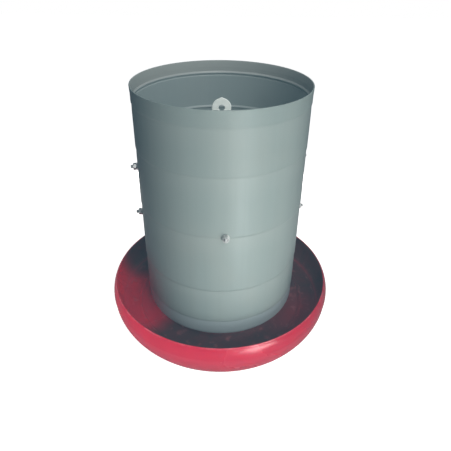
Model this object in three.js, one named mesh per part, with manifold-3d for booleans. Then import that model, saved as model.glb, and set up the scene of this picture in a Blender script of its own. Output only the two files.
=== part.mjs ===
// Gravity poultry feeder: a stepped grey tub hangs over a red feed pan on a tubular stem.
// Millimetres, +Z up. The origin is the centre of the pan's base ring, on the ground.
// The front of the feeder faces -Y. Azimuths are in degrees from the front, turning towards +X.

import * as THREE from "three";
import { mergeVertices } from "three/addons/utils/BufferGeometryUtils.js";
import Module from "manifold-3d";

const wasm = await Module();
wasm.setup();

// ---------------------------------------------------------------- driving dimensions

const GAP = 0.3; // working gap between neighbouring pieces
const SLIDE_GAP = 0.4; // clearance of the pieces that slide on the stem
const DRILL = 60; // length of a round tool that cuts a hole through one wall or the stem
const ROUND_SEGMENTS = 48; // facets round the pan and the tub
const SMALL_SEGMENTS = 12; // facets round a fastener or a small hole

// Pan
const PAN_HEIGHT = 65;
const PAN_WALL = 2.8;
const PAN_LIP_RADIUS = 201;
const PAN_CREASE_RADIUS = 207;
const PAN_CREASE_HEIGHT = 43;
const PAN_CREASE_STEP = 0.8; // how far the upper band overhangs the skirt
const PAN_BASE_RADIUS = 193;
const FOOT_RING_WIDTH = 7;
const FLOOR_TOP = 6;
const FLOOR_UNDERSIDE = FLOOR_TOP - PAN_WALL;
const FLOOR_EDGE_RADIUS = 184; // where the floor starts to curve up into the side
const RIDGE_RADIUS = 160; // low feed-saver ridge round the floor
const RIDGE_HEIGHT = 2.2;
const RIDGE_HALF_WIDTH = 3;
const CONE_FOOT_RADIUS = 118;
const CONE_TOP_RADIUS = 38;
const CONE_TOP_HEIGHT = 88;
const CONE_CORNER_SHIFT = 1.2; // the cone's underside corners lie this far inside the upper ones

// Tub (hopper)
const TUB_HEIGHT = 407;
const TUB_BOTTOM = 28; // feed gap setting: height of the tub's lower edge above the ground
const TUB_RIM = TUB_BOTTOM + TUB_HEIGHT;
const TUB_TOP_RADIUS = 142;
const TUB_WALL = 2;
const TUB_STEP_INSET = 0.65; // each band is this much smaller in radius than the one above
const TUB_STEP_DEPTHS = [25, 98, 199, 305, 373]; // below the rim
const TUB_STEP_LENGTH = 2; // height over which a step is drawn in
const TUB_LEDGE_DEPTHS = [24, 88]; // undersides of the two inner stacking ledges, below the rim
const TUB_LEDGE_DEPTH = 1.4; // how far a ledge stands in from the wall below it
const TUB_LEDGE_HEIGHT = 5;
const TUB_FLARE = 0.8; // outward flare of the rim
const TUB_FLARE_HEIGHT = 12;
const TUB_CORNER_RADIUS = 8; // rounding of the bottom corner
const TUB_CORNER_ANGLE = 105; // degrees turned by the bottom corner before the open mouth

// Stem: a tube whose top is flattened into a hanging eye
const STEM_RADIUS = 10.5;
const STEM_WALL = 1.5;
const STEM_TOP = 408.5;
const STEM_BOTTOM = CONE_TOP_HEIGHT + GAP;
const EYE_HALF_THICKNESS = 1.6;
const EYE_FLAT_FROM = 390; // fully flattened above this height
const EYE_ROUND_BELOW = 362; // fully round below this height
const EYE_HOLE_HEIGHT = 392;
const EYE_HOLE_RADIUS = 5;
const EYE_SHOULDER_HEIGHT = 394; // the rounded top starts here
const SETTING_PITCH = 15; // spacing of the height-setting holes
const SETTING_COUNT = 6;
const SETTING_HOLE_RADIUS = 3.3;

// Stem flange on top of the cone
const FLANGE_RADIUS = 34;
const FLANGE_THICKNESS = 2.5;
const COLLAR_RADIUS = 14;
const COLLAR_HEIGHT = 19;
const FLANGE_SCREW_CIRCLE = 25;
const FLANGE_SCREW_AZIMUTHS = [60, 180, 300];
const RIVET_RADIUS = 2.2;
const RIVET_HEAD_RADIUS = 4;
const RIVET_HEAD_HEIGHT = 1.8;
const RIVET_LEVEL = 0.65; // as a fraction of the collar's height

// Height pin and the bearing washer that rests on it
const PIN_RADIUS = 3;
const PIN_HEIGHT = 216;
const PIN_BEHIND = 17; // reach behind the stem's axis
const PIN_AHEAD = 19; // reach in front of it, to the start of the bend
const PIN_BEND_RADIUS = 7;
const PIN_HANDLE_LENGTH = 24;
const BEARING_RADIUS = 19;
const BEARING_THICKNESS = 2;
const BEARING_BOTTOM = PIN_HEIGHT + PIN_RADIUS + GAP;

// Bent flat bars inside the tub
const BAR_WIDTH = 30;
const BAR_THICKNESS = 3;
const BAR_BEND_RADIUS = 5; // outside of the bend
const BAR_TAB_HEIGHT = 30;
const LOWER_TURN = 5; // degrees about the stem: the two crossed bars are not quite square
const UPPER_TURN = 3;
const GUIDE_TURN = 10;
const LOWER_BAR_BOTTOM = BEARING_BOTTOM + BEARING_THICKNESS + GAP;
const UPPER_BAR_BOTTOM = LOWER_BAR_BOTTOM + BAR_THICKNESS + GAP;
const LOWER_BOLT_HEIGHT = TUB_RIM - 231.5;
const UPPER_BOLT_HEIGHT = TUB_RIM - 198.5;
const GUIDE_BOLT_HEIGHT = TUB_RIM - 136.5;
const BOLT_ABOVE_BAR = 16; // height of a tab's bolt above the underside of its bar
const GUIDE_BAR_BOTTOM = GUIDE_BOLT_HEIGHT - BOLT_ABOVE_BAR;

// M6 fasteners through the tub wall, and smaller ones through the cone
const SCREW_CHAMFER = 0.8;
const M6 = {
  radius: 3,
  head: 5.6,
  headHeight: 3.6,
  washer: 6.2,
  washerThickness: 1.5,
  acrossFlats: 10,
  nut: 5,
  end: 4, // thread showing beyond the nut
};
const M5 = {
  radius: 2.5,
  head: 4.6,
  headHeight: 3,
  washer: 5.5,
  washerThickness: 1.1,
  acrossFlats: 8,
  nut: 4,
  end: 3,
};

// ---------------------------------------------------------------- materials

function paint(name, color, roughness, metalness) {
  return new THREE.MeshStandardMaterial({ name, color, roughness, metalness });
}

const greyPlastic = paint("grey_plastic", 0x8d9b98, 0.5, 0);
const redPlastic = paint("red_plastic", 0xb3263a, 0.4, 0);
const zincSteel = paint("zinc_steel", 0xb4bbb6, 0.4, 0.8);
const palePlastic = paint("pale_plastic", 0xbac3be, 0.45, 0);

// ---------------------------------------------------------------- general helpers

const radians = THREE.MathUtils.degToRad;

function solidOf(geometry) {
  const bare = geometry.clone();
  bare.deleteAttribute("normal");
  bare.deleteAttribute("uv");
  const merged = mergeVertices(bare, 1e-4);
  const mesh = new wasm.Mesh({
    numProp: 3,
    vertProperties: Float32Array.from(merged.attributes.position.array),
    triVerts: Uint32Array.from(merged.index.array),
  });
  return new wasm.Manifold(mesh);
}

function geometryOf(solid) {
  const mesh = solid.getMesh();
  const geometry = new THREE.BufferGeometry();
  geometry.setAttribute("position", new THREE.BufferAttribute(new Float32Array(mesh.vertProperties), 3));
  geometry.setIndex(new THREE.BufferAttribute(new Uint32Array(mesh.triVerts), 1));
  geometry.computeVertexNormals();
  return geometry;
}

function cut(geometry, tools) {
  let solid = solidOf(geometry);
  for (const tool of tools) {
    solid = solid.subtract(solidOf(tool));
  }
  return geometryOf(solid);
}

// Turns a closed outline in (radius, height) about the Z axis.
function revolve(points, segments = ROUND_SEGMENTS) {
  return new THREE.LatheGeometry(points, segments).rotateX(Math.PI / 2);
}

// A round bar along X, Y or Z, centred on the given point.
function rod(radius, length, axis, x = 0, y = 0, z = 0) {
  const geometry = new THREE.CylinderGeometry(radius, radius, length, SMALL_SEGMENTS);
  if (axis === "x") {
    geometry.rotateZ(Math.PI / 2);
  }
  if (axis === "z") {
    geometry.rotateX(Math.PI / 2);
  }
  return geometry.translate(x, y, z);
}

// A group turned so that its +X axis points outwards at the given azimuth.
function spoke(azimuth) {
  const group = new THREE.Group();
  group.rotation.z = radians(azimuth - 90);
  return group;
}

function add(parent, name, geometry, material) {
  const mesh = new THREE.Mesh(geometry, material.clone());
  mesh.name = name;
  parent.add(mesh);
  return mesh;
}

// ---------------------------------------------------------------- pan

function panProfile() {
  const path = new THREE.Path();
  const top = CONE_TOP_HEIGHT - PAN_WALL;
  const foot = PAN_BASE_RADIUS - FOOT_RING_WIDTH;
  path.moveTo(0, top);
  path.lineTo(CONE_TOP_RADIUS - CONE_CORNER_SHIFT, top);
  path.lineTo(CONE_FOOT_RADIUS - CONE_CORNER_SHIFT, FLOOR_UNDERSIDE);
  path.lineTo(foot - 1, FLOOR_UNDERSIDE);
  path.lineTo(foot, 0);
  path.lineTo(PAN_BASE_RADIUS, 0);
  // Skirt, crease and the upper band that leans in to the lip
  const skirtTop = PAN_CREASE_RADIUS - PAN_CREASE_STEP;
  path.quadraticCurveTo(PAN_CREASE_RADIUS, 20, skirtTop, PAN_CREASE_HEIGHT - 1);
  path.lineTo(PAN_CREASE_RADIUS, PAN_CREASE_HEIGHT);
  path.quadraticCurveTo(PAN_CREASE_RADIUS - 0.3, 55.5, PAN_LIP_RADIUS, PAN_HEIGHT - 0.8);
  path.lineTo(PAN_LIP_RADIUS - 0.9, PAN_HEIGHT);
  path.lineTo(PAN_LIP_RADIUS - 1.9, PAN_HEIGHT - 0.9);
  // Inside of the wall and the floor
  const inside = PAN_CREASE_RADIUS - PAN_WALL;
  path.quadraticCurveTo(inside - 0.4, 54.5, inside, PAN_CREASE_HEIGHT - 1);
  path.quadraticCurveTo(inside, 18, PAN_BASE_RADIUS - 2, FLOOR_TOP + 3);
  path.lineTo(FLOOR_EDGE_RADIUS, FLOOR_TOP);
  path.lineTo(RIDGE_RADIUS + RIDGE_HALF_WIDTH, FLOOR_TOP);
  path.lineTo(RIDGE_RADIUS, FLOOR_TOP + RIDGE_HEIGHT);
  path.lineTo(RIDGE_RADIUS - RIDGE_HALF_WIDTH, FLOOR_TOP);
  path.lineTo(CONE_FOOT_RADIUS, FLOOR_TOP);
  path.lineTo(CONE_TOP_RADIUS, CONE_TOP_HEIGHT);
  path.lineTo(0, CONE_TOP_HEIGHT);
  return path.getPoints(4);
}

function flangeScrewPlaces() {
  return FLANGE_SCREW_AZIMUTHS.map((azimuth) => ({
    x: FLANGE_SCREW_CIRCLE * Math.sin(radians(azimuth)),
    y: -FLANGE_SCREW_CIRCLE * Math.cos(radians(azimuth)),
  }));
}

function makePan() {
  const holes = flangeScrewPlaces().map((at) =>
    rod(M5.radius + GAP, DRILL, "z", at.x, at.y, CONE_TOP_HEIGHT),
  );
  return cut(revolve(panProfile()), holes);
}

// ---------------------------------------------------------------- tub

// Outside radius of the band at a depth below the rim.
function tubRadius(depth) {
  const stepsAbove = TUB_STEP_DEPTHS.filter((step) => step < depth).length;
  return TUB_TOP_RADIUS - stepsAbove * TUB_STEP_INSET;
}

function tubProfile() {
  const path = new THREE.Path();
  const lowest = tubRadius(TUB_HEIGHT);
  const centreRadius = lowest - TUB_CORNER_RADIUS;
  const centreHeight = TUB_BOTTOM + TUB_CORNER_RADIUS;
  const cornerStart = radians(-TUB_CORNER_ANGLE);
  const innerCorner = TUB_CORNER_RADIUS - TUB_WALL;
  // Outside, from the open mouth up to the rim
  path.moveTo(
    centreRadius + TUB_CORNER_RADIUS * Math.cos(cornerStart),
    centreHeight + TUB_CORNER_RADIUS * Math.sin(cornerStart),
  );
  path.absarc(centreRadius, centreHeight, TUB_CORNER_RADIUS, cornerStart, 0, false);
  for (const step of [...TUB_STEP_DEPTHS].reverse()) {
    path.lineTo(tubRadius(step + 1), TUB_RIM - step - TUB_STEP_LENGTH / 2);
    path.lineTo(tubRadius(step - 1), TUB_RIM - step + TUB_STEP_LENGTH / 2);
  }
  path.lineTo(TUB_TOP_RADIUS, TUB_RIM - TUB_FLARE_HEIGHT);
  path.lineTo(TUB_TOP_RADIUS + TUB_FLARE, TUB_RIM);
  // Inside, back down: the wall follows the steps, and two of them carry a ledge
  path.lineTo(TUB_TOP_RADIUS + TUB_FLARE - TUB_WALL, TUB_RIM);
  path.lineTo(TUB_TOP_RADIUS - TUB_WALL, TUB_RIM - TUB_FLARE_HEIGHT);
  const marks = [
    ...TUB_STEP_DEPTHS.map((depth) => ({ depth, ledge: false })),
    ...TUB_LEDGE_DEPTHS.map((depth) => ({ depth, ledge: true })),
  ].sort((a, b) => a.depth - b.depth);
  for (const mark of marks) {
    const height = TUB_RIM - mark.depth;
    const wall = tubRadius(mark.depth - 1) - TUB_WALL;
    if (mark.ledge) {
      path.lineTo(wall, height + TUB_LEDGE_HEIGHT);
      path.lineTo(wall - TUB_LEDGE_DEPTH, height + 2);
      path.lineTo(wall - TUB_LEDGE_DEPTH, height + 0.6);
      path.lineTo(wall, height);
    } else {
      path.lineTo(wall, height - 1.4);
      path.lineTo(wall - TUB_STEP_INSET, height - 2.4);
    }
  }
  path.lineTo(lowest - TUB_WALL, centreHeight);
  path.absarc(centreRadius, centreHeight, innerCorner, 0, cornerStart, true);
  path.closePath();
  return path.getPoints(2);
}

// Every bolt through the tub wall: its name, direction and height.
const WALL_BOLTS = [
  { name: "cross_bolt_left", azimuth: LOWER_TURN - 90, height: LOWER_BOLT_HEIGHT },
  { name: "cross_bolt_right", azimuth: LOWER_TURN + 90, height: LOWER_BOLT_HEIGHT },
  { name: "cross_bolt_front", azimuth: UPPER_TURN, height: UPPER_BOLT_HEIGHT },
  { name: "cross_bolt_back", azimuth: UPPER_TURN + 180, height: UPPER_BOLT_HEIGHT },
  { name: "guide_bolt_left", azimuth: GUIDE_TURN - 90, height: GUIDE_BOLT_HEIGHT },
  { name: "guide_bolt_right", azimuth: GUIDE_TURN + 90, height: GUIDE_BOLT_HEIGHT },
];

function makeTub() {
  const holes = WALL_BOLTS.map((bolt) => {
    const drill = rod(M6.radius + GAP, DRILL, "x", TUB_TOP_RADIUS - TUB_WALL, 0, bolt.height);
    return drill.rotateZ(radians(bolt.azimuth - 90));
  });
  return cut(revolve(tubProfile()), holes);
}

// ---------------------------------------------------------------- stem

// Half-depth (along Y) of a tube of this radius as it goes from round to flat.
function squash(height, round, flat) {
  const along = THREE.MathUtils.smoothstep(height, EYE_ROUND_BELOW, EYE_FLAT_FROM);
  return THREE.MathUtils.lerp(round, flat, along);
}

// A round-ended slot outline: the perimeter stays that of the round tube as it is squashed.
function squashedRing(height, round, flat) {
  const halfDepth = squash(height, round, flat);
  const straight = (Math.PI / 2) * (round - halfDepth);
  const ring = [];
  const half = SMALL_SEGMENTS / 2;
  for (const side of [1, -1]) {
    for (let i = 0; i <= half; i += 1) {
      const angle = -Math.PI / 2 + (Math.PI * i) / half;
      const x = side * (straight + halfDepth * Math.cos(angle));
      const y = side * halfDepth * Math.sin(angle);
      ring.push(new THREE.Vector3(x, y, height));
    }
  }
  return ring;
}

// Joins rings of equal length, listed from bottom to top, into one closed skin.
function loft(rings) {
  const count = rings[0].length;
  const points = rings.flat();
  const faces = [];
  for (let level = 0; level + 1 < rings.length; level += 1) {
    for (let i = 0; i < count; i += 1) {
      const here = level * count + i;
      const next = level * count + ((i + 1) % count);
      faces.push(here, next, next + count, here, next + count, here + count);
    }
  }
  const last = points.length;
  const bottom = new THREE.Vector3(0, 0, rings[0][0].z);
  const top = new THREE.Vector3(0, 0, rings[rings.length - 1][0].z);
  for (let i = 0; i < count; i += 1) {
    const next = (i + 1) % count;
    const topStart = last - count;
    faces.push(last, next, i, last + 1, topStart + i, topStart + next);
  }
  const geometry = new THREE.BufferGeometry().setFromPoints([...points, bottom, top]);
  geometry.setIndex(faces);
  return geometry;
}

function stemRings(bottom, top, round, flat) {
  const heights = [bottom, EYE_ROUND_BELOW];
  const stages = 6;
  for (let i = 1; i <= stages; i += 1) {
    heights.push(THREE.MathUtils.lerp(EYE_ROUND_BELOW, EYE_FLAT_FROM, i / stages));
  }
  heights.push(top);
  return heights.map((height) => squashedRing(height, round, flat));
}

// Rounded top, drawn up to a slight point, that trims the flattened tube.
function eyeOutline() {
  const widest = EYE_HALF_THICKNESS + (Math.PI / 2) * (STEM_RADIUS - EYE_HALF_THICKNESS);
  const shape = new THREE.Shape();
  shape.moveTo(-widest - 1, 0);
  shape.lineTo(widest + 1, 0);
  shape.lineTo(widest + 1, EYE_SHOULDER_HEIGHT - 4);
  shape.lineTo(widest, EYE_SHOULDER_HEIGHT);
  const haunch = EYE_SHOULDER_HEIGHT + 10;
  shape.quadraticCurveTo(widest - 2, haunch, 3, STEM_TOP - 1);
  shape.quadraticCurveTo(0, STEM_TOP + 1, -3, STEM_TOP - 1);
  shape.quadraticCurveTo(2 - widest, haunch, -widest, EYE_SHOULDER_HEIGHT);
  shape.lineTo(-widest - 1, EYE_SHOULDER_HEIGHT - 4);
  shape.closePath();
  const depth = 4 * STEM_RADIUS;
  const block = new THREE.ExtrudeGeometry(shape, { depth, bevelEnabled: false, curveSegments: 6 });
  return block.rotateX(Math.PI / 2).translate(0, depth / 2, 0);
}

function makeStem() {
  const outside = solidOf(loft(stemRings(STEM_BOTTOM, STEM_TOP + 5, STEM_RADIUS, EYE_HALF_THICKNESS)));
  // The bore narrows to a slit and ends beside the hanging hole
  const boreRadius = STEM_RADIUS - STEM_WALL;
  const bore = solidOf(loft(stemRings(STEM_BOTTOM - 5, EYE_FLAT_FROM + 0.5, boreRadius, 0.2)));
  let tube = outside.subtract(bore);
  tube = tube.intersect(solidOf(eyeOutline()));
  const drills = [rod(EYE_HOLE_RADIUS, DRILL, "y", 0, 0, EYE_HOLE_HEIGHT)];
  for (let i = 0; i < SETTING_COUNT; i += 1) {
    drills.push(rod(SETTING_HOLE_RADIUS, DRILL, "y", 0, 0, PIN_HEIGHT + i * SETTING_PITCH));
  }
  drills.push(rod(RIVET_RADIUS + GAP, DRILL, "x", 0, 0, rivetHeight()));
  return cut(geometryOf(tube), drills);
}

// ---------------------------------------------------------------- stem flange and rivet

function flangeBottom() {
  return CONE_TOP_HEIGHT + GAP;
}

function rivetHeight() {
  return flangeBottom() + COLLAR_HEIGHT * RIVET_LEVEL;
}

function makeFlange() {
  const bore = STEM_RADIUS + GAP;
  const bottom = flangeBottom();
  const path = new THREE.Path();
  path.moveTo(bore, bottom);
  path.lineTo(FLANGE_RADIUS, bottom);
  path.lineTo(FLANGE_RADIUS, bottom + FLANGE_THICKNESS);
  path.lineTo(COLLAR_RADIUS + 2, bottom + FLANGE_THICKNESS);
  path.lineTo(COLLAR_RADIUS, bottom + FLANGE_THICKNESS + 2);
  path.lineTo(COLLAR_RADIUS, bottom + COLLAR_HEIGHT);
  path.lineTo(bore, bottom + COLLAR_HEIGHT);
  path.closePath();
  const drills = flangeScrewPlaces().map((at) => rod(M5.radius + GAP, DRILL, "z", at.x, at.y, bottom));
  drills.push(rod(RIVET_RADIUS + GAP, DRILL, "x", 0, 0, rivetHeight()));
  return cut(revolve(path.getPoints(1), 24), drills);
}

// A round-headed rivet along X: its heads clamp the collar and stem together.
function makeRivet() {
  const half = COLLAR_RADIUS + GAP;
  const path = new THREE.Path();
  path.moveTo(0, -half - RIVET_HEAD_HEIGHT);
  path.quadraticCurveTo(RIVET_HEAD_RADIUS, -half - RIVET_HEAD_HEIGHT, RIVET_HEAD_RADIUS, -half);
  path.lineTo(RIVET_RADIUS, -half);
  path.lineTo(RIVET_RADIUS, half);
  path.lineTo(RIVET_HEAD_RADIUS, half);
  path.quadraticCurveTo(RIVET_HEAD_RADIUS, half + RIVET_HEAD_HEIGHT, 0, half + RIVET_HEAD_HEIGHT);
  return new THREE.LatheGeometry(path.getPoints(4), SMALL_SEGMENTS).rotateZ(-Math.PI / 2);
}

// ---------------------------------------------------------------- fasteners, made along +X

// Screw whose head's bearing face is at x = 0 and whose thread ends at x = length.
function makeScrew(size, length) {
  const path = new THREE.Path();
  path.moveTo(0, -size.headHeight);
  path.quadraticCurveTo(size.head, -size.headHeight, size.head, -SCREW_CHAMFER);
  path.lineTo(size.head, 0);
  path.lineTo(size.radius, 0);
  path.lineTo(size.radius, length - SCREW_CHAMFER);
  path.lineTo(size.radius - SCREW_CHAMFER, length);
  path.lineTo(0, length);
  return new THREE.LatheGeometry(path.getPoints(3), SMALL_SEGMENTS).rotateZ(-Math.PI / 2);
}

function plateWithHole(outline, holeRadius, thickness) {
  const hole = new THREE.Path();
  hole.absarc(0, 0, holeRadius, 0, 2 * Math.PI, true);
  outline.holes.push(hole);
  const options = { depth: thickness, bevelEnabled: false, curveSegments: SMALL_SEGMENTS / 2 };
  return new THREE.ExtrudeGeometry(outline, options).rotateY(Math.PI / 2);
}

function makeWasher(size) {
  const outline = new THREE.Shape();
  outline.absarc(0, 0, size.washer, 0, 2 * Math.PI, false);
  return plateWithHole(outline, size.radius + GAP, size.washerThickness);
}

function makeNut(size) {
  const reach = size.acrossFlats / Math.sqrt(3);
  const corners = [];
  for (let i = 0; i < 6; i += 1) {
    const angle = (Math.PI * i) / 3;
    corners.push(new THREE.Vector2(reach * Math.cos(angle), reach * Math.sin(angle)));
  }
  return plateWithHole(new THREE.Shape(corners), size.radius + GAP, size.nut);
}

// Screw, washer and nut on one axis: the head bears at x = from, the washer sits beyond x = seat.
function addFastener(parent, name, size, from, seat) {
  const washerAt = seat + GAP;
  const nutAt = washerAt + size.washerThickness + GAP;
  const end = nutAt + size.nut + size.end;
  add(parent, `${name}_screw`, makeScrew(size, end - from), zincSteel).position.x = from;
  add(parent, `${name}_washer`, makeWasher(size), zincSteel).position.x = washerAt;
  add(parent, `${name}_nut`, makeNut(size), zincSteel).position.x = nutAt;
}

function addWallBolt(root, bolt) {
  const depth = TUB_RIM - bolt.height;
  const group = spoke(bolt.azimuth);
  group.position.z = bolt.height;
  const headSide = barReach(bolt.height) - BAR_THICKNESS - GAP;
  addFastener(group, bolt.name, M6, headSide, tubRadius(depth - M6.washer));
  root.add(group);
}

// ---------------------------------------------------------------- bent bars

// Distance from the axis to a tab's outer face: its corners just clear the curved wall.
function barReach(boltHeight) {
  const wall = tubRadius(TUB_RIM - boltHeight + BAR_TAB_HEIGHT / 2) - TUB_WALL;
  const clear = wall * Math.cos(Math.PI / ROUND_SEGMENTS) - GAP;
  return Math.sqrt(clear * clear - (BAR_WIDTH / 2) ** 2);
}

// Flat bar along X with both ends bent up, seen from the side. Its underside is at zero.
function bentOutline(reach) {
  const bend = BAR_BEND_RADIUS;
  const inner = bend - BAR_THICKNESS;
  const shape = new THREE.Shape();
  shape.moveTo(-reach, BAR_TAB_HEIGHT);
  shape.lineTo(-reach, bend);
  shape.absarc(-reach + bend, bend, bend, Math.PI, 1.5 * Math.PI, false);
  shape.lineTo(reach - bend, 0);
  shape.absarc(reach - bend, bend, bend, -Math.PI / 2, 0, false);
  shape.lineTo(reach, BAR_TAB_HEIGHT);
  shape.lineTo(reach - BAR_THICKNESS, BAR_TAB_HEIGHT);
  shape.lineTo(reach - BAR_THICKNESS, bend);
  shape.absarc(reach - bend, bend, inner, 0, -Math.PI / 2, true);
  shape.lineTo(-reach + bend, BAR_THICKNESS);
  shape.absarc(-reach + bend, bend, inner, 1.5 * Math.PI, Math.PI, true);
  shape.closePath();
  return shape;
}

// A bar with its underside at the given height; its tabs turn up, or down when tabs is -1.
function makeBar(bottom, boltHeight, tabs) {
  const options = { depth: BAR_WIDTH, bevelEnabled: false, curveSegments: 3 };
  const bar = new THREE.ExtrudeGeometry(bentOutline(barReach(boltHeight)), options);
  bar.rotateX(Math.PI / 2).translate(0, BAR_WIDTH / 2, 0);
  if (tabs < 0) {
    bar.rotateY(Math.PI).translate(0, 0, BAR_THICKNESS);
  }
  bar.translate(0, 0, bottom);
  const drills = [
    rod(STEM_RADIUS + SLIDE_GAP, 4 * BAR_THICKNESS, "z", 0, 0, bottom),
    rod(M6.radius + GAP, 4 * TUB_TOP_RADIUS, "x", 0, 0, boltHeight),
  ];
  return cut(bar, drills);
}

// ---------------------------------------------------------------- height pin and bearing washer

// Bent wire pin: straight through the stem along Y, then its handle hangs down in front.
function makePin() {
  const bendStart = new THREE.Vector3(0, -PIN_AHEAD, PIN_HEIGHT);
  const corner = new THREE.Vector3(0, -PIN_AHEAD - PIN_BEND_RADIUS, PIN_HEIGHT);
  const bendEnd = new THREE.Vector3(0, corner.y, PIN_HEIGHT - PIN_BEND_RADIUS);
  const tip = new THREE.Vector3(0, corner.y, bendEnd.z - PIN_HANDLE_LENGTH);
  const route = new THREE.CurvePath();
  route.add(new THREE.LineCurve3(new THREE.Vector3(0, PIN_BEHIND, PIN_HEIGHT), bendStart));
  route.add(new THREE.QuadraticBezierCurve3(bendStart, corner, bendEnd));
  route.add(new THREE.LineCurve3(bendEnd, tip));
  const section = new THREE.Shape();
  section.absarc(0, 0, PIN_RADIUS, 0, 2 * Math.PI, false);
  return new THREE.ExtrudeGeometry(section, { steps: 16, extrudePath: route, curveSegments: 6 });
}

function makeBearing() {
  const outline = new THREE.Shape();
  outline.absarc(0, 0, BEARING_RADIUS, 0, 2 * Math.PI, false);
  const plate = plateWithHole(outline, STEM_RADIUS + SLIDE_GAP, BEARING_THICKNESS);
  return plate.rotateY(-Math.PI / 2).translate(0, 0, BEARING_BOTTOM);
}

// ---------------------------------------------------------------- assembly

const feeder = new THREE.Group();

// Pan, stem and the pieces that hold them together
add(feeder, "pan", makePan(), redPlastic);
add(feeder, "stem", makeStem(), palePlastic);
add(feeder, "stem_flange", makeFlange(), zincSteel);
add(feeder, "stem_rivet", makeRivet(), zincSteel).position.z = rivetHeight();
flangeScrewPlaces().forEach((at, index) => {
  const group = new THREE.Group();
  group.position.set(at.x, at.y, flangeBottom() + FLANGE_THICKNESS + GAP);
  group.rotation.y = Math.PI / 2; // screw axis points down
  addFastener(group, `flange_${index + 1}`, M5, 0, FLANGE_THICKNESS + 2 * GAP + PAN_WALL);
  feeder.add(group);
});

// Height setting
add(feeder, "height_pin", makePin(), zincSteel);
add(feeder, "bearing_washer", makeBearing(), zincSteel);

// Tub with its cross and guide bars
add(feeder, "tub", makeTub(), greyPlastic);
const acrossGroup = spoke(LOWER_TURN + 90);
add(acrossGroup, "cross_bar_lower", makeBar(LOWER_BAR_BOTTOM, LOWER_BOLT_HEIGHT, -1), zincSteel);
const alongGroup = spoke(UPPER_TURN);
add(alongGroup, "cross_bar_upper", makeBar(UPPER_BAR_BOTTOM, UPPER_BOLT_HEIGHT, 1), zincSteel);
const guideGroup = spoke(GUIDE_TURN + 90);
add(guideGroup, "guide_bar", makeBar(GUIDE_BAR_BOTTOM, GUIDE_BOLT_HEIGHT, 1), zincSteel);
feeder.add(acrossGroup, alongGroup, guideGroup);
for (const bolt of WALL_BOLTS) {
  addWallBolt(feeder, bolt);
}

export default feeder;
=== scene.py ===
"""Gravity poultry feeder: fine surfaces, materials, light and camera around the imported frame.

Lengths are millimetres until a mesh is made. +Z is up and the front of the feeder faces -Y.
An outline is a list of (radius or distance, height) points.
"""

import math
from collections import namedtuple

import bmesh
import bpy
from mathutils import Matrix, Vector


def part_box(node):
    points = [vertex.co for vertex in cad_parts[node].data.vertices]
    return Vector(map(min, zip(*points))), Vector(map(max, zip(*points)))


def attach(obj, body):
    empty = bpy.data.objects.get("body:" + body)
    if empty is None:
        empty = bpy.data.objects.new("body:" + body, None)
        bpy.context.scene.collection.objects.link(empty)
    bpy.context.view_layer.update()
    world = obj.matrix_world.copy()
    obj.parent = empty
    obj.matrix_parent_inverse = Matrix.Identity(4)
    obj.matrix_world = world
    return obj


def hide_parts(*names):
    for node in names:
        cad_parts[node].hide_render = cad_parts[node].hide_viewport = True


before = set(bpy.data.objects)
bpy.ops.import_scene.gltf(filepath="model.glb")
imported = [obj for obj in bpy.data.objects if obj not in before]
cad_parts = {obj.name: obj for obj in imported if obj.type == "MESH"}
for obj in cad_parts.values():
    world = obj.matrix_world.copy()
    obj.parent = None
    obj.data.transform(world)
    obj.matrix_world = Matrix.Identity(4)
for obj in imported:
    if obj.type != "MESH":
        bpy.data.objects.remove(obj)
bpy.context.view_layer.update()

MM = 0.001
UP = Vector((0, 0, 1))
DOWN = Vector((0, 0, -1))
RIGHT = Vector((1, 0, 0))
FORWARDS = Vector((0, -1, 0))

# ---------------------------------------------------------------- measures taken from the frame


def low(node):
    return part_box(node)[0] / MM


def high(node):
    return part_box(node)[1] / MM


def middle(node):
    return (low(node) + high(node)) / 2


def span(node, direction):
    """How far a CAD node reaches along a direction: its lowest and highest distance."""
    distances = [vertex.co.dot(direction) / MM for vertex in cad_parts[node].data.vertices]
    return min(distances), max(distances)


def outward(node):
    """Level direction from the feeder's axis to a node."""
    centre = middle(node)
    return Vector((centre.x, centre.y, 0)).normalized()


# ---------------------------------------------------------------- sizes

TURNED_SIDES = 256  # round the pan and the tub
SMALL_SIDES = 64  # round the stem, collar and washers
THREAD_SIDES = 32  # round screws, the rivet and the pin
NUT_SIDES = 48

RIM = high("tub").z
TUB_BOTTOM = low("tub").z
FLARE = 0.8
RIM_RADIUS = high("tub").x
BAND_RADIUS = RIM_RADIUS - FLARE  # outside of the topmost band
FLARE_HEIGHT = 12
RIM_EDGE = 0.9
TUB_WALL = 2
STEP_INSET = 0.65
STEP_DEPTHS = (25, 98, 199, 305, 373)  # below the rim
STEP_START = 1  # above the step's own height
STEP_FOOT = 2.5  # below the step's own height
INNER_STEP_START = 1.4  # both below the step's own height
INNER_STEP_FOOT = 2.4
SHOULDER_DEPTH = 0.35  # each band leans in by this much under the step above it
SHOULDER_HEIGHT = 16
LEDGE_DEPTHS = (24, 88)  # undersides of the stacking ledges, below the rim
LEDGE_DEPTH = 1.4
LEDGE_HEIGHT = 5
TUB_CORNER = 8
TUB_CORNER_ANGLE = 105

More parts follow.
